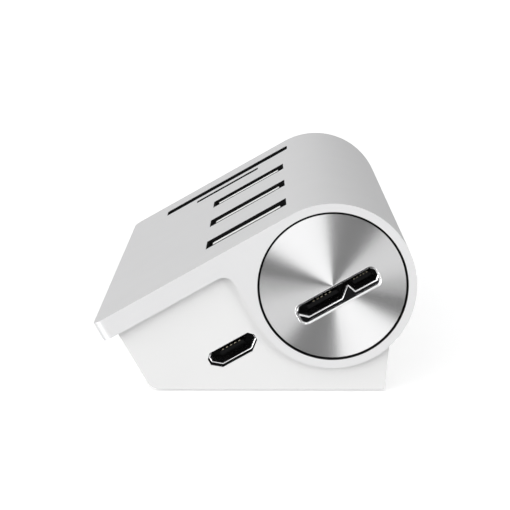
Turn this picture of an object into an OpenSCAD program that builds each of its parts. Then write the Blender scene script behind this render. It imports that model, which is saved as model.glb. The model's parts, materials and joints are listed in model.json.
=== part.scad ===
// Desktop hub and card reader dock.
// An aluminium shell with a P-shaped section, a flat sloping deck that wraps round a tube, stands on a
// white moulded base. Three USB-A sockets and two card slots open through the deck, the host port opens
// in the tube's front disc and the power port in the front of the base.
// Origin: centre of the footprint, on the surface the feet stand on. +X right, +Y to the back, +Z up.
// Most parts lie square to the deck, so they are drawn in the deck frame: x runs up the slope, y runs to
// the back from the shell's front face, and z is square to the deck, all from the tube's axis.

/* [Shell] */
// Length of the dock, front to back
dock_len = 77; // [76:0.5:90]
// Outside diameter of the tube
tube_d = 23.1; // [23.1:0.05:23.3]
// Wall of the tube
tube_wall = 1.2; // [1.1:0.05:1.25]
// Slope of the deck
deck_angle = 29.5; // [29:0.1:30]
// Deck length, from under the tube's axis to its left edge
deck_len = 31.5; // [31.4:0.1:33]
// Thickness of the deck
deck_t = 2.87; // [2.7:0.01:2.95]
// Round of the deck's two left corners, seen square to it
deck_corner_r = 1.5; // [0.5:0.1:2.5]
// Fillet between the deck and the tube
fillet_r = 1.8; // [1:0.1:2]

/* [Base] */
// Height of the tube's axis above the underside of the base
axis_h = 14.97; // [14.9:0.01:15.5]
// Wall of the base
base_wall = 1.5; // [1.3:0.1:1.5]
// How far the base's ends sit behind the shell's ends
base_recess = 1.2; // [0.8:0.1:1.4]
// Thickness of the bottom cover
cover_t = 1.3; // [1.2:0.05:1.3]
// How far the feet stand proud of the cover
foot_proud = 0.3; // [0.2:0.05:0.6]
// Diameter of a foot
foot_d = 7; // [5:0.5:8]

/* [USB-A sockets] */
// Distance between sockets
usb_pitch = 17.41; // [17.3:0.01:17.5]
// Middle of the first socket, from the front face
usb_y1 = 12.79; // [12.5:0.01:13]
// Middle of the sockets along the deck
usb_x = -7.3; // [-7.4:0.05:-7.2]
// Opening of a socket, along and across
usb_open = [12.5, 5.12];
// Tongue of a socket, along and across
usb_tongue = [11.1, 1.84];
// Sheet of a socket's shell
usb_sheet = 0.3; // [0.25:0.05:0.3]

/* [Card slots] */
// Middle of the SD slot, from the front face
sd_y = 67.13; // [67:0.01:67.3]
// Middle of the SD slot along the deck
sd_x = -11.86; // [-11.9:0.01:-11.8]
// SD slot, length and width
sd_slot = [24.4, 4.4];
// Middle of the microSD slot, from the front face
micro_y = 61.2; // [61.1:0.01:61.3]
// Middle of the microSD slot along the deck
micro_x = -11.63; // [-11.7:0.01:-11.6]
// microSD slot, length and width
micro_slot = [12.2, 2.2];

/* [Ports] */
// Distance of both ports' middle below the tube's axis, square to the deck
port_z = -1.5; // [-1.55:0.05:-1.45]
// Middle of the power port along the deck
power_x = -16.6; // [-16.7:0.05:-16.5]
// Cut-out for the host port in the disc, length and height
host_cut = [12.2, 2.6];
// Opening inside the power port's shell, length and height
power_open = [6.8, 2.05];

/* [Hidden] */

$fn = 96;
eps = 0.01;
tube_r = tube_d / 2;
bore_r = tube_r - tube_wall;
sin_a = sin(deck_angle);
cos_a = cos(deck_angle);
deck_under = tube_r - deck_t;
tube_x = (deck_len * cos_a + tube_r * sin_a - tube_r) / 2;
tube_z = axis_h + foot_proud;

// Boards
board_t = 1;
board_top = port_z - 1.35;
board_left = -20.3;
board_right = 9.1;
board_back = dock_len - 6.5;
card_board_y = 62.7;
card_board_t = 1.6;

// The hollow milled into the tube's side, which lets the boards pass from the base into the tube
mill_x = [-14.2, -5.5];
mill_z = [-6.5, deck_under];
mill_y = [6.5, dock_len - 6];

// Discs and plugs that close the tube
disc_r = bore_r - 0.28;
disc_t = 1.5;
disc_recess = 0.25;
disc_chamfer = 0.25;
plug_t = 2.5;
plug_y = disc_recess + disc_t;
plug_boss_y = plug_y + plug_t;
plug_screw_y = 5;

// Base
base_left = -29.3;
base_round = 2;
base_gap = 0.05;
base_right_low = 7.4;
base_right_high = 7.92;
cradle_left = -6.5;
cover_left = -23.3;
cover_right = base_right_low - base_wall - 0.1;
floor_z = -axis_h;
cover_top = floor_z + cover_t;
round_z = floor_z + base_round;
round_x = base_left + base_round;

// Fasteners: screw shanks, heads and where they stand
screw_d = 2;
screw_head_d = 3.4;
shell_screw_x = -26;
shell_screw_y = [8.5, 56];
board_screw_x = -12.5;
board_screw_y = [21.5, 39, 55.5];
cover_screw_left = -20.5;
cover_screw_right = 3.2;
cover_screw_y = [4.6, dock_len - 4.6];
cover_screw_right_y = [25, dock_len - 25];
foot_x = [-17, -0.5];
foot_y = [15, dock_len - 15];
foot_t = 0.9;

// Sockets
usb_cut = usb_open + [0.7, 0.68];
usb_tongue_top = tube_r - 0.1;
usb_shell_top = tube_r - 0.75;
usb_liner_depth = 0.73;
liner_gap = 0.04;
liner_top = tube_r - 0.02;
power_sheet = 0.18;
power_cut = 0.3;
usb_floor = 3;
sd_back_y = card_board_y + card_board_t;
sd_front_y = 68.75;
sd_sheet = 0.25;
sd_slot_r = 0.6;
sd_card_slot = [24.1, 2.7];
micro_card_slot = [11.8, 1.2];
micro_slot_r = 0.4;
sd_bottom = -1.2;
sd_top = deck_under - 0.1;
sd_body = [-24.75, 1];
sd_card_w = 24.2;
micro_front_y = 60.3;
micro_back_y = 61.85;
micro_bottom = board_top + 0.15;
micro_body = [-19.9, -4.9];
micro_card_w = 11.1;
micro_floor = micro_bottom + 0.5;
slider_x = -18;
slider_foot_z = [2.2, 3];
slider_lug_z = [5.4, 6.4];
spring_x = -18.65;
spring_r = 0.5;
spring_wire = 0.2;
spring_turns = 8;

// Places the dock so that the row's origin is the centre of its footprint
module dock() {
    translate([tube_x, -dock_len / 2, tube_z]) children();
}

// Turns level geometry into the deck frame
module deck_frame() {
    dock() rotate([0, -deck_angle, 0]) children();
}

// Extrudes a section, drawn in x and z, from y0 to y1
module along(y0, y1) {
    translate([0, y1, 0]) rotate([90, 0, 0]) linear_extrude(y1 - y0) children();
}

// A box between two corners
module block(x, y, z) {
    translate([x[0], y[0], z[0]]) cube([x[1] - x[0], y[1] - y[0], z[1] - z[0]]);
}

// An upright post
module post(x, y, z0, z1, d) {
    translate([x, y, z0]) cylinder(h = z1 - z0, d = d, $fn = 48);
}

// A slot with rounded corners, lying along x
module corner_slot(size, r, z0, z1) {
    translate([0, 0, z0]) linear_extrude(z1 - z0) union() {
        square(size - [2 * r, 0], center = true);
        square(size - [0, 2 * r], center = true);
        for (sx = [-1, 1], sy = [-1, 1])
            translate([sx * (size[0] / 2 - r), sy * (size[1] / 2 - r)]) circle(r = r, $fn = 32);
    }
}

// ---- Shell ----

// The outside of the shell's section, in the deck frame
module shell_section() {
    circle(r = tube_r);
    translate([-tube_r, 0]) square([tube_r, tube_r]);
    translate([-deck_len, deck_under]) square([deck_len, deck_t]);
    difference() {
        translate([-tube_r - fillet_r, deck_under - fillet_r]) square([fillet_r + eps, fillet_r + eps]);
        translate([-tube_r - fillet_r, deck_under - fillet_r]) circle(r = fillet_r);
    }
}

// Takes one left corner of the deck off to a round
module deck_corner(y, side) {
    corner_x = -deck_len + deck_corner_r;
    difference() {
        translate([-deck_len - 1, side > 0 ? y - 1 : y - deck_corner_r, deck_under - 1])
            cube([deck_corner_r + 1, deck_corner_r + 1, deck_t + 2]);
        translate([corner_x, y + side * deck_corner_r, deck_under - 2])
            cylinder(h = deck_t + 4, r = deck_corner_r);
    }
}

module metal_shell() {
    color("lightgray") difference() {
        deck_frame() difference() {
            along(0, dock_len) difference() {
                shell_section();
                circle(r = bore_r);
            }
            block(mill_x, mill_y, mill_z);
            for (n = [0:2])
                translate([usb_x, usb_y1 + n * usb_pitch, 5])
                    linear_extrude(tube_r) square(usb_cut, center = true);
            translate([sd_x, sd_y, 0]) corner_slot(sd_slot, sd_slot_r, 5, tube_r + 1);
            translate([micro_x, micro_y, 0]) corner_slot(micro_slot, micro_slot_r, 5, tube_r + 1);
            for (y = shell_screw_y) post(shell_screw_x, y, deck_under - 1, deck_under + 1.8, screw_d);
            deck_corner(0, 1);
            deck_corner(dock_len, -1);
        }
        dock() for (y = [plug_screw_y, dock_len - plug_screw_y])
            post(0, y, -tube_r - 1, -bore_r + 1, screw_d + 0.4);
    }
}

// ---- Base ----

// The base's section, outside, before the tube is taken out of it
module base_block_section() {
    corner_x = base_left * cos_a - (floor_z - base_left * sin_a) / cos_a * sin_a;
    wall_z = (round_z - round_x * sin_a) / cos_a;
    middle_x = round_x * cos_a - wall_z * sin_a;
    foot_point = [middle_x, floor_z];
    wall_point = [base_left * cos_a - wall_z * sin_a, base_left * sin_a + wall_z * cos_a];
    difference() {
        intersection() {
            rotate(deck_angle) translate([base_left, -30]) square([60, 30 + deck_under - base_gap]);
            polygon([[-45, floor_z], [base_right_low, floor_z], [base_right_high, -9], [9, 5], [-45, 5]]);
        }
        polygon([[corner_x - 1, floor_z - 1], [foot_point[0], floor_z - 1], foot_point,
                 [middle_x, round_z], wall_point, wall_point + [-1, 0]]);
    }
    translate([middle_x, round_z]) circle(r = base_round);
}

// The shell's outside with the fitting gap round it, which the base is cut to
module shell_clearance() {
    circle(r = tube_r + base_gap);
    rotate(deck_angle) {
        translate([-tube_r - base_gap, 0]) square([tube_r * 2, tube_r + 1]);
        difference() {
            translate([-tube_r - fillet_r, deck_under - fillet_r]) square(fillet_r + 1);
            translate([-tube_r - fillet_r, deck_under - fillet_r]) circle(r = fillet_r - base_gap);
        }
    }
}

module base_section() {
    difference() {
        base_block_section();
        shell_clearance();
    }
}

// The room inside the base, left of the cradle that carries the tube
module base_room_section() {
    intersection() {
        rotate(deck_angle) translate([base_left + base_wall, -30]) square([60, 60]);
        translate([-45, floor_z - 1]) square([45 + cradle_left, 60]);
    }
}

// The outline of a small port, a flat trapezoid with its wide side up, grown all round by grow
module power_port_outline(grow) {
    w = power_open[0] / 2 + grow;
    h = power_open[1] / 2 + grow;
    corner = 0.5 + 0.586 * grow;
    side_z = -0.1 - 0.479 * grow;
    foot = power_open[0] / 2 - 1.15 + 0.352 * grow;
    polygon([[-w + corner, h], [w - corner, h], [w, h - corner], [w, side_z], [foot, -h],
             [-foot, -h], [-w, side_z], [-w, h - corner]]);
}

module base_housing() {
    inner = [base_recess + base_wall, dock_len - base_recess - base_wall];
    color("whitesmoke") difference() {
        union() {
            dock() difference() {
                along(base_recess, dock_len - base_recess) base_section();
                along(inner[0], inner[1]) base_room_section();
            }
            dock() intersection() {
                along(inner[0] - eps, inner[1] + eps) base_section();
                union() {
                    for (y = cover_screw_y) post(cover_screw_left, y, cover_top, -10.2, 4.4);
                    rotate([0, -deck_angle, 0]) {
                        for (y = shell_screw_y) post(shell_screw_x, y, 0.45, deck_under, 5.2);
                        for (y = board_screw_y) {
                            post(board_screw_x, y, -8.4, board_top - board_t, 4.5);
                            block([board_screw_x, -8.6], [y - 1, y + 1], [-8.4, board_top - board_t - 1.2]);
                        }
                    }
                }
            }
        }
        dock() {
            block([cover_left - 0.1, cover_right + 0.1], inner, [floor_z - 1, cover_top]);
            for (y = cover_screw_y) post(cover_screw_left, y, cover_top - 1, floor_z + 3.1, screw_d);
            for (y = cover_screw_right_y) post(cover_screw_right, y, cover_top - 1, floor_z + 3.1, screw_d);
            for (y = [plug_screw_y, dock_len - plug_screw_y]) {
                post(0, y, cover_top - 1, -9, screw_d + 0.4);
                post(0, y, cover_top - 1, cover_top + 1.1, screw_head_d + 0.4);
            }
            rotate([0, -deck_angle, 0]) {
                for (y = shell_screw_y) {
                    post(shell_screw_x, y, -1, deck_under + 1, screw_d + 0.2);
                    post(shell_screw_x, y, -1, 1.65, screw_head_d + 0.4);
                }
                for (y = board_screw_y) post(board_screw_x, y, -7.2, board_top, screw_d);
                translate([power_x, 0, port_z + 0.05]) along(0, inner[0] + 1) power_port_outline(power_cut);
            }
        }
    }
}

module bottom_cover() {
    inner = [base_recess + base_wall + 0.1, dock_len - base_recess - base_wall - 0.1];
    color("white") dock() difference() {
        block([cover_left, cover_right], inner, [floor_z, cover_top]);
        for (x = foot_x, y = foot_y) post(x, y, floor_z - 1, floor_z + foot_t - foot_proud, foot_d);
        for (y = cover_screw_y) cover_screw_hole(cover_screw_left, y);
        for (y = cover_screw_right_y) cover_screw_hole(cover_screw_right, y);
    }
}

// A countersunk hole through the cover
module cover_screw_hole(x, y) {
    post(x, y, floor_z - 1, cover_top + 1, screw_d + 0.2);
    translate([x, y, floor_z - eps]) cylinder(h = 0.9, d1 = 3.9, d2 = screw_d + 0.2, $fn = 48);
}

module foot(x, y) {
    color("dimgray") dock() post(x, y, floor_z - foot_proud, floor_z + foot_t - foot_proud, foot_d);
}

// ---- Discs and plugs at the tube's ends ----

// A bar with well rounded ends, drawn in x and z
module host_cut_outline(grow) {
    end_r = host_cut[1] / 2 - 0.5 + grow;
    half_w = host_cut[0] / 2 + grow;
    half_h = host_cut[1] / 2 + grow;
    translate([-half_w + end_r, -half_h]) square([2 * (half_w - end_r), 2 * half_h]);
    translate([-half_w, -half_h + end_r]) square([2 * half_w, 2 * (half_h - end_r)]);
    for (sx = [-1, 1], sz = [-1, 1])
        translate([sx * (half_w - end_r), sz * (half_h - end_r)]) circle(r = end_r, $fn = 40);
}

// The countersink round the host port, cut as steps of a quarter-millimetre bevel
module front_disc() {
    bevel_steps = 3;
    color("silver") deck_frame() difference() {
        along(disc_recess, disc_recess + disc_t) circle(r = disc_r);
        translate([0, 0, port_z]) {
            along(0, 5) host_cut_outline(0);
            for (n = [0:bevel_steps - 1])
                along(0, disc_recess + disc_chamfer * (n + 1) / bevel_steps)
                    host_cut_outline(disc_chamfer * (bevel_steps - n) / bevel_steps);
        }
    }
}

// A round plug with a boss for the screw that comes up through the tube
module plug(y0, y1, boss_y0, boss_y1, screw_y) {
    difference() {
        union() {
            along(y0, y1) circle(r = bore_r - 0.05);
            intersection() {
                along(boss_y0, boss_y1) circle(r = bore_r - 0.05);
                block([-2.5, 2.5], [boss_y0 - 1, boss_y1 + 1], [-bore_r, -6.6]);
            }
        }
        post(0, screw_y, -bore_r - 1, -7, screw_d);
    }
}

module front_plug() {
    color("dimgray") dock() difference() {
        plug(plug_y, plug_boss_y, plug_boss_y - 1, plug_boss_y + 2.6, plug_screw_y);
        rotate([0, -deck_angle, 0]) translate([0, 0, port_z])
            along(0, plug_boss_y + 1) host_port_outline(0.25);
    }
}

module rear_disc() {
    y1 = dock_len - disc_recess;
    color("silver") deck_frame() along(y1 - disc_t, y1) circle(r = disc_r);
}

module rear_plug() {
    y1 = dock_len - plug_y;
    color("gainsboro") dock()
        plug(y1 - plug_t, y1, y1 - plug_t - 2.6, y1 - plug_t + 1, dock_len - plug_screw_y);
}

// ---- Fasteners ----

module cover_screw(x, y) {
    post(x, y, floor_z + 0.9, floor_z + 2.9, screw_d);
    difference() {
        translate([x, y, floor_z + 0.05]) cylinder(h = 0.85, d1 = 3.6, d2 = screw_d, $fn = 48);
        post(x, y, floor_z, floor_z + 0.5, 1.2);
    }
}

module cover_screws() {
    color("gray") dock() {
        for (y = cover_screw_y) cover_screw(cover_screw_left, y);
        for (y = cover_screw_right_y) cover_screw(cover_screw_right, y);
    }
}

module plug_screws() {
    color("gray") dock() for (y = [plug_screw_y, dock_len - plug_screw_y]) {
        post(0, y, cover_top + 0.1, cover_top + 1.1, screw_head_d);
        post(0, y, cover_top + 1, -7.2, screw_d);
    }
}

module shell_screws() {
    color("gray") deck_frame() for (y = shell_screw_y) {
        post(shell_screw_x, y, 0.65, 1.65, screw_head_d);
        post(shell_screw_x, y, 1.6, deck_under + 1.7, screw_d);
    }
}

module board_screws() {
    color("gray") deck_frame() for (y = board_screw_y) {
        post(board_screw_x, y, board_top, board_top + 1, screw_head_d);
        post(board_screw_x, y, board_top - 4, board_top + 0.1, screw_d);
    }
}

// ---- Boards ----

module main_board() {
    ring_notch = [-12.3, -7.8];
    color("darkgreen") deck_frame() difference() {
        block([board_left, board_right], [3.1, board_back], [board_top - board_t, board_top]);
        block(ring_notch, [0, 7.1], [board_top - 2, board_top + 1]);
        block([ring_notch[1] - eps, board_right + 1], [0, 4.6], [board_top - 2, board_top + 1]);
        for (y = board_screw_y) post(board_screw_x, y, board_top - 2, board_top + 1, screw_d + 0.2);
    }
}

module card_board() {
    color("darkgreen") deck_frame() along(card_board_y, card_board_y + card_board_t)
        polygon([[board_left + 0.3, board_top], [6.5, board_top], [6.5, 7], [5.1, sd_top - 0.2],
                 [sd_body[0], sd_top - 0.2], [sd_body[0], sd_bottom], [board_left + 0.3, sd_bottom]]);
}

// Plastic strip with right-angle pins that join the two boards
module board_link_header() {
    pins = 6;
    color("dimgray") deck_frame() {
        block([-3.5, 6.3], [card_board_y - 2, card_board_y - 0.5], [board_top, board_top + 1.4]);
        for (n = [0:pins - 1]) {
            x = -2.6 + n * 1.6;
            block([x, x + 0.5], [card_board_y - 1.5, card_board_y], [board_top + 0.4, board_top + 0.9]);
            block([x, x + 0.5], [card_board_y - 0.4, card_board_y], [board_top + 0.4, board_top + 3.2]);
        }
    }
}

// ---- USB-A sockets ----

module usb_a_shell(n) {
    outer = usb_open + [2 * usb_sheet, 2 * usb_sheet];
    color("silver") deck_frame() translate([usb_x, usb_y1 + n * usb_pitch, board_top]) difference() {
        linear_extrude(usb_shell_top - board_top) square(outer, center = true);
        translate([0, 0, usb_sheet]) linear_extrude(tube_d) square(usb_open, center = true);
    }
}

// Distance from a socket's middle to the far face of its tongue
function usb_tongue_face() = -usb_open[1] / 2 + 0.9 + usb_tongue[1];

module usb_a_tongue(n) {
    body = usb_open - [0.04, 0.04];
    end = usb_tongue_top - board_top - usb_sheet;
    near = usb_tongue_face() - usb_tongue[1];
    far = usb_tongue_face();
    color("white") deck_frame() translate([usb_x, usb_y1 + n * usb_pitch, board_top + usb_sheet]) {
        linear_extrude(usb_floor) square(body, center = true);
        translate([-usb_tongue[0] / 2, 0, 0]) rotate([90, 0, 90]) linear_extrude(usb_tongue[0])
            polygon([[near, usb_floor - eps], [far, usb_floor - eps], [far, end - 0.3], [far - 0.3, end],
                     [near + 0.15, end], [near, end - 0.15]]);
    }
}

// Four long springs and, nearer the mouth, five short pads
module usb_a_contacts(n) {
    foot = board_top + usb_sheet + usb_floor;
    color("goldenrod") deck_frame()
        translate([usb_x, usb_y1 + n * usb_pitch + usb_tongue_face(), 0]) {
            for (x = [-3.5, -1, 1, 3.5]) {
                block([x - 0.5, x + 0.5], [0, 0.15], [foot, foot + 5.6]);
                block([x - 0.5, x + 0.5], [0, 0.4], [foot + 4.6, foot + 5.2]);
            }
            for (x = [-4, -2, 0, 2, 4])
                block([x - 0.35, x + 0.35], [0, 0.12], [usb_tongue_top - 2.8, usb_tongue_top - 0.9]);
        }
}

// ---- Black liners, pressed into the deck's openings and flush with it ----

module usb_a_liner(n) {
    bottom = tube_r - usb_liner_depth;
    outer = usb_cut - [liner_gap, liner_gap];
    color("dimgray") deck_frame() translate([usb_x, usb_y1 + n * usb_pitch, bottom]) difference() {
        linear_extrude(liner_top - bottom) square(outer, center = true);
        translate([0, 0, -1]) linear_extrude(3) square(usb_open, center = true);
    }
}

module card_liner(slot, slot_r, card, card_r) {
    difference() {
        corner_slot(slot - [liner_gap, liner_gap], slot_r, deck_under, liner_top);
        corner_slot(card, card_r, deck_under - 1, tube_r + 1);
    }
}

module sd_liner() {
    color("dimgray") deck_frame() translate([sd_x, sd_y, 0])
        card_liner(sd_slot, sd_slot_r, sd_card_slot, 0.3);
}

module microsd_liner() {
    color("dimgray") deck_frame() translate([micro_x, micro_y, 0])
        card_liner(micro_slot, micro_slot_r, micro_card_slot, 0.25);
}

// ---- Host port, in the tube's front disc ----

// A double opening: a slant-sided part on the left, a small part on the right, a fold between them
module host_port_outline(grow) {
    w = 6.1 + grow;
    h = 0.95 + grow;
    fold = 0.3 - grow;
    polygon([[-w + 0.6, h], [w - 0.6, h], [w, h - 0.6], [w, -h + 0.6], [w - 0.6, -h],
             [2.3 - 0.7 * grow, -h], [1.85 - 0.7 * grow, fold], [1.55 + 0.38 * grow, fold],
             [0.15 + 0.38 * grow, -h], [-w + 1.1, -h], [-w, -h + 1], [-w, h - 0.6]]);
}

module host_port_shell() {
    y = [2, 7.3];
    color("silver") deck_frame() translate([0, 0, port_z]) difference() {
        along(y[0], y[1]) host_port_outline(0.2);
        along(y[0] - 1, y[1] - 0.3) host_port_outline(0);
    }
    color("silver") deck_frame() for (x = [-5, 4.5])
        block([x - 0.4, x + 0.4], [5.2, 6.6], [board_top, port_z - 1.1]);
}

module host_port_tongue() {
    color("dimgray") deck_frame() translate([0, 0, port_z]) {
        along(5.2, 6.95) intersection() {
            host_port_outline(-0.03);
            translate([-8, -0.9]) square([16, 1.8]);
        }
        block([-4.6, 0.1], [2.1, 5.3], [0, 0.5]);
        block([2.6, 5.3], [2.1, 5.3], [0, 0.5]);
    }
}

module host_port_contacts() {
    color("goldenrod") deck_frame() translate([0, 0, port_z + 0.5]) {
        for (n = [0:4]) block([-3.65 + n * 0.65, -3.35 + n * 0.65], [2.3, 5.2], [0, 0.08]);
        for (n = [0:4]) block([2.8 + n * 0.5, 3 + n * 0.5], [2.3, 5.2], [0, 0.08]);
    }
}

// ---- Power port, in the front of the base ----

module power_port_shell() {
    y = [base_recess + 1.2, 7.5];
    color("silver") deck_frame() translate([power_x, 0, port_z + 0.05]) difference() {
        along(y[0], y[1]) power_port_outline(power_sheet);
        along(y[0] - 1, y[1] - 0.3) power_port_outline(0);
    }
    color("silver") deck_frame() for (x = [-2, 2])
        block([power_x + x - 0.4, power_x + x + 0.4], [5.2, 6.8], [board_top, port_z - 1.2]);
}

module power_port_tongue() {
    color("dimgray") deck_frame() translate([power_x, 0, port_z + 0.05]) {
        along(5.6, 7.15) power_port_outline(-0.02);
        block([-1.85, 1.85], [2.3, 5.7], [0.1, 0.6]);
    }
}

module power_port_contacts() {
    color("goldenrod") deck_frame() translate([power_x, 0, port_z + 0.65])
        for (n = [0:4]) block([-1.45 + n * 0.65, -1.15 + n * 0.65], [2.4, 5.6], [0, 0.08]);
}

// A black liner in the base's opening
module power_port_liner() {
    color("dimgray") deck_frame() translate([power_x, 0, port_z + 0.05]) difference() {
        along(base_recess + 0.03, base_recess + base_wall) power_port_outline(power_cut - liner_gap / 2);
        along(0, base_recess + base_wall + 1) power_port_outline(power_sheet + 0.02);
    }
}

// ---- SD socket, on the back of the card board ----

module sd_insulator() {
    channel = [sd_x - sd_card_w / 2, sd_x + sd_card_w / 2];
    color("dimgray") deck_frame() difference() {
        block(sd_body, [sd_back_y, sd_front_y], [sd_bottom, sd_top]);
        block(channel, [sd_y - 1.2, sd_front_y + 1], [sd_bottom + 1.2, sd_top + 1]);
    }
}

module sd_cover() {
    color("silver") deck_frame() block(sd_body, [sd_front_y, sd_front_y + sd_sheet], [sd_bottom, sd_top]);
}

module sd_contacts() {
    color("goldenrod") deck_frame() for (n = [0:8]) {
        x = sd_x + (n - 4) * 2.5;
        block([x - 0.6, x + 0.6], [sd_y - 1.2, sd_y - 1.08], [sd_bottom + 1.2, 5.2]);
    }
}

// ---- microSD socket, on the front of the card board, with its push-push eject slider ----

module microsd_insulator() {
    channel = [micro_x - micro_card_w / 2, micro_x + micro_card_w / 2];
    color("dimgray") deck_frame() difference() {
        block(micro_body, [micro_front_y + 0.2, card_board_y], [micro_bottom, sd_top]);
        block([channel[0] - eps, channel[1]], [micro_front_y - 1, micro_back_y], [micro_floor, sd_top + 1]);
        block([-19.4, channel[0]], [micro_front_y - 1, micro_back_y], [micro_floor, 7.4]);
    }
}

module microsd_cover() {
    color("silver") deck_frame()
        block(micro_body, [micro_front_y, micro_front_y + 0.2], [micro_bottom, sd_top]);
}

module microsd_contacts() {
    color("goldenrod") deck_frame() for (n = [0:7]) {
        x = micro_x + (n - 3.5) * 1.1;
        block([x - 0.25, x + 0.25], [micro_back_y - 0.08, micro_back_y], [3.6, 6.6]);
    }
}

// An arm beside the card, a foot under its end and a lug that the spring pushes on
module microsd_slider() {
    y = [micro_front_y + 0.35, micro_back_y - 0.15];
    color("ivory") deck_frame() {
        block([slider_x, -17.35], y, [slider_foot_z[0], slider_lug_z[1]]);
        block([-17.4, -15.8], y, slider_foot_z);
        block([-19.3, slider_x + 0.05], y, slider_lug_z);
    }
}

// Compression spring, a round wire swept along a helix
module microsd_spring() {
    steps = 12;
    sides = 8;
    rings = spring_turns * steps;
    foot_z = micro_floor + spring_wire / 2 + 0.02;
    rise = slider_lug_z[0] - micro_floor - spring_wire - 0.04;
    coil_r = spring_r - spring_wire / 2;
    ring = [for (i = [0:rings], s = [0:sides - 1])
        let (turn = 360 * i / steps, side = 360 * s / sides, r = coil_r + spring_wire / 2 * cos(side))
        [r * cos(turn), r * sin(turn), rise * i / rings + spring_wire / 2 * sin(side)]];
    walls = [for (i = [0:rings - 1], s = [0:sides - 1])
        let (a = i * sides + s, b = i * sides + (s + 1) % sides)
        [a, a + sides, b + sides, b]];
    foot_cap = [for (s = [0:sides - 1]) s];
    head_cap = [for (s = [0:sides - 1]) rings * sides + sides - 1 - s];
    color("silver") deck_frame() translate([spring_x, micro_front_y + 0.9, foot_z])
        polyhedron(points = ring, faces = concat(walls, [foot_cap, head_cap]));
}

// ---- Chips and other parts on the main board ----

module hub_controller() {
    color("black") deck_frame() block([0.4, 8.2], [18, 25.8], [board_top, board_top + 0.85]);
}

module card_controller() {
    color("black") deck_frame() block([1, 6], [53, 58], [board_top, board_top + 0.85]);
}

module hub_crystal() {
    color("silver") deck_frame() block([2.4, 5.6], [35, 37.5], [board_top, board_top + 0.7]);
}

module card_crystal() {
    color("silver") deck_frame() block([2.4, 5.6], [43, 45.5], [board_top, board_top + 0.7]);
}

module bulk_capacitors() {
    color("goldenrod") deck_frame() for (n = [0:2])
        translate([0, usb_y1 + n * usb_pitch, 0])
            block([-18.3, -15.5], [-1.75, 1.75], [board_top, board_top + 1.9]);
}

module power_inductor() {
    color("dimgray") deck_frame() block([-19.2, -15.2], [19.6, 23.6], [board_top, board_top + 1.8]);
}

metal_shell();
base_housing();
bottom_cover();
front_disc();
front_plug();
rear_disc();
rear_plug();
foot(foot_x[0], foot_y[0]);  // foot_front_left
foot(foot_x[1], foot_y[0]);  // foot_front_right
foot(foot_x[0], foot_y[1]);  // foot_rear_left
foot(foot_x[1], foot_y[1]);  // foot_rear_right
cover_screws();
plug_screws();
shell_screws();
board_screws();
main_board();
card_board();
board_link_header();
usb_a_shell(0);  // usb_a_shell_1
usb_a_shell(1);  // usb_a_shell_2
usb_a_shell(2);  // usb_a_shell_3
usb_a_tongue(0);  // usb_a_tongue_1
usb_a_tongue(1);  // usb_a_tongue_2
usb_a_tongue(2);  // usb_a_tongue_3
usb_a_contacts(0);  // usb_a_contacts_1
usb_a_contacts(1);  // usb_a_contacts_2
usb_a_contacts(2);  // usb_a_contacts_3
usb_a_liner(0);  // usb_a_liner_1
usb_a_liner(1);  // usb_a_liner_2
usb_a_liner(2);  // usb_a_liner_3
sd_liner();
microsd_liner();
host_port_shell();
host_port_tongue();
host_port_contacts();
power_port_shell();
power_port_tongue();
power_port_contacts();
power_port_liner();
sd_cover();
sd_insulator();
sd_contacts();
microsd_cover();
microsd_insulator();
microsd_contacts();
microsd_slider();
microsd_spring();
hub_controller();
card_controller();
hub_crystal();
card_crystal();
bulk_capacitors();
power_inductor();
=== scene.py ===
"""Looks of the desktop hub dock: materials, fine visible pieces, studio light and camera.

Everything is in metres in the row's own frame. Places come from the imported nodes' boxes and from the
few driving sizes below, which repeat those of the CAD.
"""
import json
import math

import bmesh
import bpy
from mathutils import Matrix, Vector


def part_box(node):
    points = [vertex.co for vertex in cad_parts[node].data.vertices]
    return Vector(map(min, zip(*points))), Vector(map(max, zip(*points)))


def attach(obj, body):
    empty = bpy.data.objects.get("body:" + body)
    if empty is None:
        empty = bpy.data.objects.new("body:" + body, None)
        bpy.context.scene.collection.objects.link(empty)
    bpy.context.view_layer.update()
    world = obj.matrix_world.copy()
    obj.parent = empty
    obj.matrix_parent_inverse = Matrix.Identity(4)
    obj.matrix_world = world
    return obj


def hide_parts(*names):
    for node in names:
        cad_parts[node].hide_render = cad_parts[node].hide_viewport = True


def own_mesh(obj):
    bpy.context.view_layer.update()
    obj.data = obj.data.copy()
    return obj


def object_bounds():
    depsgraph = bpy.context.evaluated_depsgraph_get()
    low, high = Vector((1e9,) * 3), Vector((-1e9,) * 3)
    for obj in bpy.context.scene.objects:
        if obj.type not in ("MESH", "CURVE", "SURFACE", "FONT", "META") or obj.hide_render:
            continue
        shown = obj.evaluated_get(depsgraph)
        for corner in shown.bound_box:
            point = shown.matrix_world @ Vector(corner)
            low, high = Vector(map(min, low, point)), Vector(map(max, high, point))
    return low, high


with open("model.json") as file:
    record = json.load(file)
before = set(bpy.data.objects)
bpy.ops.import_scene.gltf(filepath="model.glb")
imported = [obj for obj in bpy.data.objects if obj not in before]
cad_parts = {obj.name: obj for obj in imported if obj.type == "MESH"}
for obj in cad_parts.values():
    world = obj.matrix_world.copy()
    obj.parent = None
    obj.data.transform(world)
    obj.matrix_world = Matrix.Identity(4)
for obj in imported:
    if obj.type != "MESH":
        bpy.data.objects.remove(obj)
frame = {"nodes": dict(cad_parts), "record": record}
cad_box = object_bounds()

MM = 0.001
NODES = frame["nodes"]

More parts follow.
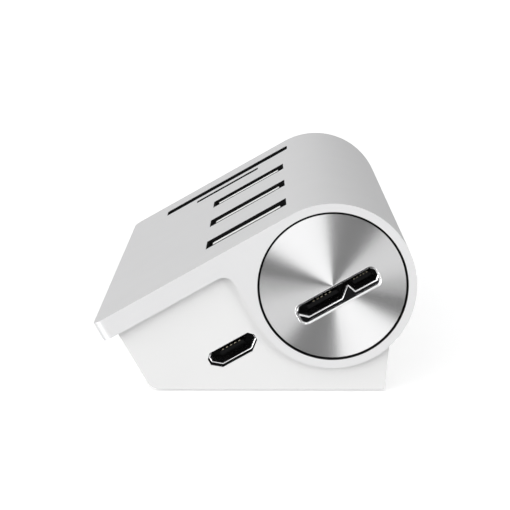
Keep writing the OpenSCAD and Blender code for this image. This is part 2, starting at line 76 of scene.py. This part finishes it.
# Driving sizes, as in the CAD
DECK_ANGLE = math.radians(29.5)
PORT_DROP = 1.5 * MM
PORT_LIFT = 0.05 * MM
POWER_X = -16.6 * MM
BORE_R = 10.35 * MM
DISC_T = 1.5 * MM
HOST_CUT = (12.2 * MM, 2.6 * MM)
HOST_CUT_SQUARING = 0.5 * MM
BEVEL = 0.25 * MM
HOST_SHEET = 0.2 * MM
POWER_SHEET = 0.18 * MM

# The ejector spring, in the deck's frame
SPRING_X, SPRING_Y = -18.65 * MM, 22.7 * MM
SPRING_FOOT, SPRING_HEAD = -2.2 * MM, 5.4 * MM
SPRING_COIL, SPRING_WIRE, SPRING_TURNS = 0.4 * MM, 0.1 * MM, 8


def middle(node):
    """Centre of a CAD node's box."""
    low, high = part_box(node)
    return (low + high) / 2


AXIS = middle("front_disc")


# ---- Node materials ----

class Shader:
    """A material under construction: a Principled shader and helpers that hang textures on it."""

    def __init__(self, name, color, metallic=0.0, roughness=0.5, **sockets):
        self.material = bpy.data.materials.new(name)
        self.material.use_nodes = True
        self.tree = self.material.node_tree
        self.bsdf = self.tree.nodes["Principled BSDF"]
        self.color = color
        self.roughness = roughness
        self.bsdf.inputs["Base Color"].default_value = (*color, 1)
        self.bsdf.inputs["Metallic"].default_value = metallic
        self.bsdf.inputs["Roughness"].default_value = roughness
        for key, value in sockets.items():
            self.bsdf.inputs[key.replace("_", " ")].default_value = value
        self.coords = self.tree.nodes.new("ShaderNodeTexCoord")
        self.normal = None

    def node(self, kind, **settings):
        made = self.tree.nodes.new(kind)
        for key, value in settings.items():
            setattr(made, key, value)
        return made

    def link(self, source, target):
        self.tree.links.new(source, target)

    def mapped(self, scale=(1, 1, 1), turn=(0, 0, 0)):
        """Object coordinates, in metres, scaled and turned."""
        mapping = self.node("ShaderNodeMapping")
        mapping.inputs["Scale"].default_value = scale
        mapping.inputs["Rotation"].default_value = turn
        self.link(self.coords.outputs["Object"], mapping.inputs["Vector"])
        return mapping.outputs["Vector"]

    def noise(self, size, detail=2, rough=0.5, stretch=(1, 1, 1), turn=(0, 0, 0)):
        """Noise whose grains are about size metres across."""
        made = self.node("ShaderNodeTexNoise")
        made.inputs["Scale"].default_value = 1 / size
        made.inputs["Detail"].default_value = detail
        made.inputs["Roughness"].default_value = rough
        self.link(self.mapped(stretch, turn), made.inputs["Vector"])
        return made.outputs["Fac"]

    def spread(self, source, low, high, from_low=0.3, from_high=0.7):
        made = self.node("ShaderNodeMapRange")
        for key, value in (("From Min", from_low), ("From Max", from_high), ("To Min", low), ("To Max", high)):
            made.inputs[key].default_value = value
        self.link(source, made.inputs["Value"])
        return made.outputs["Result"]

    def tint(self, source, darker, lighter=1.0):
        """Varies the base colour between two shares of itself."""
        made = self.node("ShaderNodeMix", data_type="RGBA")
        made.inputs["A"].default_value = (*[c * darker for c in self.color], 1)
        made.inputs["B"].default_value = (*[min(1, c * lighter) for c in self.color], 1)
        self.link(self.spread(source, 0, 1), made.inputs["Factor"])
        self.link(made.outputs["Result"], self.bsdf.inputs["Base Color"])
        return self

    def vary_roughness(self, source, share):
        low, high = self.roughness * (1 - share), self.roughness * (1 + share)
        self.link(self.spread(source, low, high), self.bsdf.inputs["Roughness"])
        return self

    def radius(self):
        """Distance from the tube's axis, in metres."""
        place = self.node("ShaderNodeMapping", vector_type="POINT")
        place.inputs["Location"].default_value = (-AXIS.x, 0, -AXIS.z)
        flat = self.node("ShaderNodeVectorMath", operation="MULTIPLY")
        flat.inputs[1].default_value = (1, 0, 1)
        length = self.node("ShaderNodeVectorMath", operation="LENGTH")
        self.link(self.coords.outputs["Object"], place.inputs["Vector"])
        self.link(place.outputs["Vector"], flat.inputs[0])
        self.link(flat.outputs["Vector"], length.inputs[0])
        return length.outputs["Value"]

    def paint_shade(self, mask, share):
        """Paints shade: takes the tinted base colour down to a share of the plain one where mask is 0."""
        tinted = self.bsdf.inputs["Base Color"].links[0].from_socket
        made = self.node("ShaderNodeMix", data_type="RGBA")
        made.inputs["A"].default_value = (*[c * share for c in self.color], 1)
        self.link(tinted, made.inputs["B"])
        self.link(mask, made.inputs["Factor"])
        self.link(made.outputs["Result"], self.bsdf.inputs["Base Color"])
        return self

    def bump(self, source, depth, strength=1.0):
        made = self.node("ShaderNodeBump")
        made.inputs["Distance"].default_value = depth
        made.inputs["Strength"].default_value = strength
        self.link(source, made.inputs["Height"])
        if self.normal is not None:
            self.link(self.normal, made.inputs["Normal"])
        self.normal = made.outputs["Normal"]
        self.link(self.normal, self.bsdf.inputs["Normal"])
        return self


def blasted_aluminium():
    """Bead-blasted and anodised: an even fine grain, and painted shade on the bore round the end discs."""
    s = Shader("blasted_aluminium", (0.78, 0.78, 0.785), metallic=0.2, roughness=0.46)
    s.tint(s.noise(7 * MM, 3), 0.985)
    # Painted shade: inside the bore's radius the colour drops to 3 %, standing in for the shade inside the
    # tube.
    s.paint_shade(s.spread(s.radius(), 0, 1, BORE_R + 0.02 * MM, BORE_R + 0.05 * MM), 0.03)
    grain = s.noise(0.16 * MM, 2, 0.6)
    s.vary_roughness(grain, 0.1)
    return s.bump(grain, 0.006 * MM, 0.5).material


def spun_aluminium():
    """Turned face: fine rings about the axis, which spread each light into a ray through the centre."""
    s = Shader("spun_aluminium", (0.92, 0.92, 0.925), metallic=1.0, roughness=0.12, Anisotropic=1.0,
               Anisotropic_Rotation=0.25)
    tangent = s.node("ShaderNodeTangent", direction_type="RADIAL", axis="Y")
    s.link(tangent.outputs["Tangent"], s.bsdf.inputs["Tangent"])
    rings = s.node("ShaderNodeTexNoise", noise_dimensions="1D")
    rings.inputs["Scale"].default_value = 1 / (0.06 * MM)
    rings.inputs["Detail"].default_value = 3
    s.link(s.radius(), rings.inputs["W"])
    s.tint(rings.outputs["Fac"], 0.93)
    return s.bump(rings.outputs["Fac"], 0.0001 * MM).material


def white_moulding():
    s = Shader("white_moulding", (0.78, 0.78, 0.778), roughness=0.42, Specular_IOR_Level=0.45)
    s.tint(s.noise(9 * MM, 2), 0.985)
    grain = s.noise(0.22 * MM, 2, 0.55)
    s.vary_roughness(grain, 0.12)
    return s.bump(grain, 0.008 * MM, 0.4).material


def moulding(name, color, roughness=0.45, grain_size=0.2 * MM, shine=0.5):
    s = Shader(name, color, roughness=roughness, Specular_IOR_Level=shine)
    grain = s.noise(grain_size, 2)
    s.tint(s.noise(3 * MM, 2), 0.9)
    s.vary_roughness(grain, 0.15)
    return s.bump(grain, 0.006 * MM, 0.4).material


def tongue_moulding():
    """White moulding, light on the face that is level with the deck, with painted shade down its flanks."""
    s = Shader("tongue_white", (0.95, 0.95, 0.94), roughness=0.4)
    s.tint(s.noise(3 * MM, 2), 0.95)
    # Painted shade: faces that turn away from square to the deck are darkened to 6 % of the white, standing in
    # for the shade in the gaps beside the tongue.
    slope = s.node("ShaderNodeVectorMath", operation="DOT_PRODUCT")
    slope.inputs[1].default_value = (-math.sin(DECK_ANGLE), 0, math.cos(DECK_ANGLE))
    s.link(s.coords.outputs["Normal"], slope.inputs[0])
    s.paint_shade(s.spread(slope.outputs["Value"], 0, 1, 0.75, 0.95), 0.06)
    return s.bump(s.noise(0.2 * MM, 2), 0.006 * MM, 0.4).material


def rolled_sheet(name, color, roughness=0.3):
    """Stamped sheet with fine rolling lines along the slope of the deck."""
    s = Shader(name, color, metallic=1.0, roughness=roughness)
    lines = s.noise(0.08 * MM, 2, 0.6, stretch=(1, 0.06, 1), turn=(0, DECK_ANGLE, 0))
    s.tint(s.noise(2 * MM, 2), 0.93)
    s.vary_roughness(lines, 0.2)
    return s.bump(lines, 0.002 * MM, 0.4).material


def solder_mask():
    """Green laminate with a faint raster of copper traces under the mask."""
    s = Shader("solder_mask", (0.03, 0.17, 0.08), roughness=0.35, Coat_Weight=0.3)
    traces = s.node("ShaderNodeTexBrick")
    traces.inputs["Scale"].default_value = 1 / (1.6 * MM)
    traces.inputs["Mortar Size"].default_value = 0.06
    traces.inputs["Color1"].default_value = (0.03, 0.17, 0.08, 1)
    traces.inputs["Color2"].default_value = (0.035, 0.19, 0.09, 1)
    traces.inputs["Mortar"].default_value = (0.06, 0.27, 0.13, 1)
    s.link(s.mapped(turn=(0, DECK_ANGLE, 0)), traces.inputs["Vector"])
    s.link(traces.outputs["Color"], s.bsdf.inputs["Base Color"])
    return s.bump(traces.outputs["Fac"], 0.01 * MM, 0.3).material


MATERIALS = {
    "shell_aluminium": blasted_aluminium(),
    "spun_aluminium": spun_aluminium(),
    "base_plastic": white_moulding(),
    "plug_plastic": moulding("plug_plastic", (0.008, 0.008, 0.009), 0.6, shine=0.1),
    "foot_rubber": moulding("foot_rubber", (0.10, 0.10, 0.105), 0.75, 0.3 * MM),
    "screw_steel": rolled_sheet("screw_steel", (0.55, 0.55, 0.56), 0.34),
    "board_laminate": solder_mask(),
    "socket_steel": rolled_sheet("socket_steel", (0.74, 0.74, 0.75), 0.2),
    "tongue_white": tongue_moulding(),
    "socket_black": moulding("socket_black", (0.004, 0.004, 0.0045), 0.5, shine=0.15),
    # liner_black: black liners in the card slots and port openings; their black also paints the shade inside
    # those openings.
    "liner_black": moulding("liner_black", (0.012, 0.012, 0.0125), 0.8, 0.12 * MM, shine=0.0),
    "contact_gold": rolled_sheet("contact_gold", (0.86, 0.78, 0.60), 0.25),
    "slider_ivory": moulding("slider_ivory", (0.80, 0.77, 0.66), 0.45),
    "spring_steel": rolled_sheet("spring_steel", (0.62, 0.62, 0.62), 0.25),
    "chip_epoxy": moulding("chip_epoxy", (0.02, 0.02, 0.022), 0.55, 0.12 * MM),
    "crystal_can": rolled_sheet("crystal_can", (0.70, 0.70, 0.70), 0.3),
    "capacitor_tan": moulding("capacitor_tan", (0.62, 0.40, 0.09), 0.3),
    "inductor_ferrite": moulding("inductor_ferrite", (0.08, 0.08, 0.085), 0.7, 0.1 * MM),
}

for part in frame["record"]["subparts"]:
    mesh = NODES[part["node"]].data
    mesh.materials.clear()
    mesh.materials.append(MATERIALS[part["material_slot"]])


def soften(node, width, segments=2, angle=40):
    """Breaks a CAD node's sharp edges and keeps its flats flat."""
    piece = NODES[node]
    bevel = piece.modifiers.new("edges", "BEVEL")
    bevel.width = width
    bevel.segments = segments
    bevel.limit_method = "ANGLE"
    bevel.angle_limit = math.radians(angle)
    bevel.harden_normals = False
    weighted = piece.modifiers.new("normals", "WEIGHTED_NORMAL")
    weighted.keep_sharp = True


# ---- Fine pieces ----

def deck_place(x, y, z):
    """A place in the deck's frame, x up the slope and z square to the deck, from the tube's axis."""
    turn = Matrix.Rotation(-DECK_ANGLE, 3, "Y")
    return Vector((AXIS.x, 0, AXIS.z)) + turn @ Vector((x, 0, z)) + Vector((0, y, 0))


def bar_outline(half_w, half_h, end_r, steps=10):
    """A bar with rounded corners, anticlockwise in x and z."""
    points = []
    for corner, (sx, sz) in enumerate(((1, 1), (-1, 1), (-1, -1), (1, -1))):
        for step in range(steps + 1):
            turn = math.radians(90 * (corner + step / steps))
            points.append((sx * (half_w - end_r) + end_r * math.cos(turn),
                           sz * (half_h - end_r) + end_r * math.sin(turn)))
    return points


def sweep(name, loops, closed=True):
    """A skin through a row of loops with the same number of points, joined end to end or capped."""
    mesh = bmesh.new()
    rows = [[mesh.verts.new(place) for place in loop] for loop in loops]
    for index in range(len(rows) if closed else len(rows) - 1):
        row, following = rows[index], rows[(index + 1) % len(rows)]
        for n in range(len(row)):
            m = (n + 1) % len(row)
            mesh.faces.new((row[n], row[m], following[m], following[n]))
    if not closed:
        mesh.faces.new(rows[0])
        mesh.faces.new(rows[-1])
    bmesh.ops.recalc_face_normals(mesh, faces=mesh.faces)
    for face in mesh.faces:
        face.smooth = True
    data = bpy.data.meshes.new(name)
    mesh.to_mesh(data)
    mesh.free()
    piece = bpy.data.objects.new(name, data)
    bpy.context.scene.collection.objects.link(piece)
    return piece


def host_port_bevel():
    """The smooth, diamond-cut bevel round the host port, over the CAD's stepped one."""
    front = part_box("front_disc")[0].y
    half_w, half_h = HOST_CUT[0] / 2, HOST_CUT[1] / 2
    profile = [(BEVEL + 0.03 * MM, -0.004 * MM), (BEVEL - 0.02 * MM, 0.004 * MM)]
    profile += [(BEVEL * (1 - share), BEVEL * share) for share in (0.15, 0.5, 0.85)]
    back = DISC_T - 0.2 * MM
    profile += [(0, BEVEL), (-0.01 * MM, BEVEL + 0.08 * MM), (-0.01 * MM, back), (0.2 * MM, back),
                (BEVEL, 0.3 * MM)]
    loops = []
    for grow, depth in profile:
        outline = bar_outline(half_w + grow, half_h + grow, half_h - HOST_CUT_SQUARING + grow)
        loops.append([deck_place(x, front + depth, z - PORT_DROP) for x, z in outline])
    piece = sweep("host_port_bevel", loops)
    s = Shader("cut_aluminium", (0.92, 0.92, 0.925), metallic=1.0, roughness=0.2)
    lines = s.noise(0.05 * MM, 2, 0.6, stretch=(0.1, 1, 1), turn=(0, DECK_ANGLE, 0))
    s.tint(s.noise(1.5 * MM, 2), 0.95)
    s.vary_roughness(lines, 0.2)
    piece.data.materials.append(s.bump(lines, 0.0015 * MM, 0.4).material)
    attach(piece, "dock")


def host_outline(grow):
    """Opening of the micro-B USB 3.0 shell, with the fold between its two parts, widened by grow."""
    w, h, fold = 6.1 * MM + grow, 0.95 * MM + grow, 0.3 * MM - grow
    return [(-w + 0.6 * MM, h), (w - 0.6 * MM, h), (w, h - 0.6 * MM), (w, -h + 0.6 * MM), (w - 0.6 * MM, -h),
            (2.3 * MM - 0.7 * grow, -h), (1.85 * MM - 0.7 * grow, fold), (1.55 * MM + 0.38 * grow, fold),
            (0.15 * MM + 0.38 * grow, -h), (-w + 1.1 * MM, -h), (-w, -h + 1 * MM), (-w, h - 0.6 * MM)]


def power_outline(grow):
    """Opening of the micro-USB shell, widened by grow."""
    w, h = 3.4 * MM + grow, 1.025 * MM + grow
    corner, side = 0.5 * MM + 0.586 * grow, -0.1 * MM - 0.479 * grow
    foot = 2.25 * MM + 0.352 * grow
    return [(-w + corner, h), (w - corner, h), (w, h - corner), (w, side), (foot, -h),
            (-foot, -h), (-w, side), (-w, h - corner)]


def port_lip(shell, outline, x, z, sheet):
    """Flared mouth of a micro port's shell, which guides the plug in: sheet is the shell's thickness."""
    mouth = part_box(shell)[0].y
    profile = [(-0.004 * MM, 0.12 * MM), (0.01 * MM, 0.01 * MM), (0.35 * sheet, -0.05 * MM),
               (0.75 * sheet, -0.1 * MM), (sheet, -0.13 * MM), (sheet, -0.1 * MM), (0.9 * sheet, 0.002 * MM),
               (0.5 * sheet, 0.01 * MM)]
    loops = [[deck_place(x + a, mouth + depth, z + b) for a, b in outline(grow)] for grow, depth in profile]
    piece = sweep(shell.replace("shell", "lip"), loops)
    piece.data.materials.append(MATERIALS["socket_steel"])
    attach(piece, "dock")


def eject_spring():
    """Compression spring of the microSD socket, with closed end coils."""
    steps, sides = 28, 8
    end_pitch = 1.6 * SPRING_WIRE
    low, high = SPRING_FOOT + SPRING_WIRE * 1.2, SPRING_HEAD - SPRING_WIRE * 1.2
    loops = []
    for index in range(SPRING_TURNS * steps + 1):
        turn = index / steps
        climb = min(max((turn - 0.8) / (SPRING_TURNS - 1.6), 0), 1)
        height = low + end_pitch * min(turn, 1) + end_pitch * max(turn - SPRING_TURNS + 1, 0)
        height += (high - low - 2 * end_pitch) * climb
        angle = math.tau * turn
        loop = []
        for side in range(sides):
            around = math.tau * side / sides
            reach = SPRING_COIL + SPRING_WIRE * math.cos(around)
            loop.append(deck_place(SPRING_X + reach * math.cos(angle), SPRING_Y + reach * math.sin(angle),
                                   height + SPRING_WIRE * math.sin(around)))
        loops.append(loop)
    piece = sweep("eject_spring", loops, closed=False)
    piece.data.materials.append(MATERIALS["spring_steel"])
    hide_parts("microsd_spring")
    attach(piece, "dock")
    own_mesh(piece)


# ---- Stage, light and camera ----

def pale_floor():
    """White paper, with a little light of its own."""
    bpy.ops.mesh.primitive_plane_add(size=16)
    floor = bpy.context.active_object
    floor.name = "floor"
    s = Shader("pale_floor", (0.93, 0.93, 0.93), roughness=0.8, Specular_IOR_Level=0.1)
    s.tint(s.noise(0.6, 2), 0.99)
    s.bsdf.inputs["Emission Color"].default_value = (1, 1, 1, 1)
    s.bsdf.inputs["Emission Strength"].default_value = 0.35
    floor.data.materials.append(s.material)
    floor.visible_glossy = False
    floor.visible_diffuse = False


class World:
    """The studio round the dock, as light that depends only on direction."""

    def __init__(self):
        world = bpy.data.worlds.new("studio")
        bpy.context.scene.world = world
        world.use_nodes = True
        self.tree = world.node_tree
        self.background = self.tree.nodes["Background"]
        self.background.inputs["Color"].default_value = (1, 1, 1, 1)
        coords = self.tree.nodes.new("ShaderNodeTexCoord")
        split = self.tree.nodes.new("ShaderNodeSeparateXYZ")
        self.tree.links.new(coords.outputs["Generated"], split.inputs["Vector"])
        self.x, self.y, self.z = (split.outputs[axis] for axis in "XYZ")
        self.seen = self.tree.nodes.new("ShaderNodeLightPath").outputs["Is Camera Ray"]

    def math(self, operation, *values):
        made = self.tree.nodes.new("ShaderNodeMath")
        made.operation = operation
        for socket, value in zip(made.inputs, values):
            if isinstance(value, (int, float)):
                socket.default_value = value
            else:
                self.tree.links.new(value, socket)
        return made.outputs["Value"]

    def between(self, source, low, high):
        """0 below low, 1 above high, smooth between."""
        made = self.tree.nodes.new("ShaderNodeMapRange")
        made.interpolation_type = "SMOOTHSTEP"
        made.inputs["From Min"].default_value = low
        made.inputs["From Max"].default_value = high
        self.tree.links.new(source, made.inputs["Value"])
        return made.outputs["Result"]

    def mix(self, factor, a, b):
        """a where factor is 0, b where it is 1."""
        share = self.math("MULTIPLY", factor, self.math("SUBTRACT", b, a))
        return self.math("ADD", a, share)


# Two tall softboxes in front, by their edges' angle round the point that the disc mirrors to the camera, in
# degrees from +X towards +Z: each edge has an angle, how soft it is, and the level beyond it
SOFTBOX_EDGES = ((8, 14, 0.76), (50, 12, 0.14), (95, 1, 1.14), (152, 12, 0.03), (172, 8, 0.46))
SOFTBOX_CENTRE = (0.044, -0.219)


def studio_world(low, high, behind, behind_high, strip, side):
    """Softboxes in front, whose sheens meet at the disc's centre, and plain light round them: (left, right).

    Two strip lights stand behind the dock, a dark flag at its right side, and white paper all round, which
    only shows where the floor ends.
    """
    w = World()
    u = w.math("SUBTRACT", w.x, SOFTBOX_CENTRE[0])
    v = w.math("SUBTRACT", w.z, SOFTBOX_CENTRE[1])
    angle = w.math("DEGREES", w.math("ARCTAN2", v, u))
    angle = w.math("MODULO", w.math("ADD", angle, 360), 180)
    boxes = SOFTBOX_EDGES[-1][2]
    for edge, softness, level in SOFTBOX_EDGES:
        boxes = w.mix(w.between(angle, edge - softness / 2, edge + softness / 2), boxes, level)
    spread = w.math("SQRT", w.math("ADD", w.math("MULTIPLY", u, u), w.math("MULTIPLY", v, v)))
    right = w.between(w.x, -0.6, 0.6)
    ahead = w.mix(w.between(w.z, 0.1, 0.6), w.mix(right, *low), w.mix(right, *high))
    ahead = w.mix(w.between(spread, 0.6, 0.75), boxes, ahead)
    aside = w.math("ABSOLUTE", w.x)
    lit = w.math("SUBTRACT", w.between(aside, 0.5, 0.56), w.between(aside, 0.74, 0.8))
    back = w.mix(lit, w.mix(right, *behind), strip)
    back = w.mix(w.between(w.z, 0.35, 0.7), back, w.mix(right, *behind_high))
    level = w.mix(w.between(w.y, -0.28, 0.02), ahead, back)
    level = w.mix(w.between(w.x, 0.8, 0.93), level, side)
    level = w.mix(w.between(w.z, -0.85, -0.7), 0.1, level)
    level = w.mix(w.seen, level, 1.0)
    w.tree.links.new(level, w.background.inputs["Strength"])


def camera():
    """At the viewing angle of a close product shot, a little above the dock."""
    data = bpy.data.cameras.new("camera")
    data.lens = 112.7
    data.sensor_width = 36
    data.clip_start = 0.01
    eye = bpy.data.objects.new("camera", data)
    bpy.context.scene.collection.objects.link(eye)
    aim = Vector((0.08 * MM, cad_box[0][1], 19.7 * MM))
    tilt, yaw, distance = math.radians(11.535), math.radians(-0.286), 218 * MM
    forward = Vector((math.sin(yaw) * math.cos(tilt), math.cos(yaw) * math.cos(tilt), -math.sin(tilt)))
    eye.location = aim - forward * distance
    eye.rotation_euler = forward.to_track_quat("-Z", "Y").to_euler()
    bpy.context.scene.camera = eye


host_port_bevel()
port_lip("host_port_shell", host_outline, 0, -PORT_DROP, HOST_SHEET)
port_lip("power_port_shell", power_outline, POWER_X, PORT_LIFT - PORT_DROP, POWER_SHEET)
eject_spring()
soften("metal_shell", 0.12 * MM)
soften("base_housing", 0.15 * MM)
pale_floor()
studio_world(low=(5.0, 4.8), high=(1.2, 0.95), behind=(0.4, 0.25), behind_high=(0.7, 0.4), strip=1.0,
             side=0.25)
camera()
bpy.context.scene.view_settings.view_transform = "Standard"
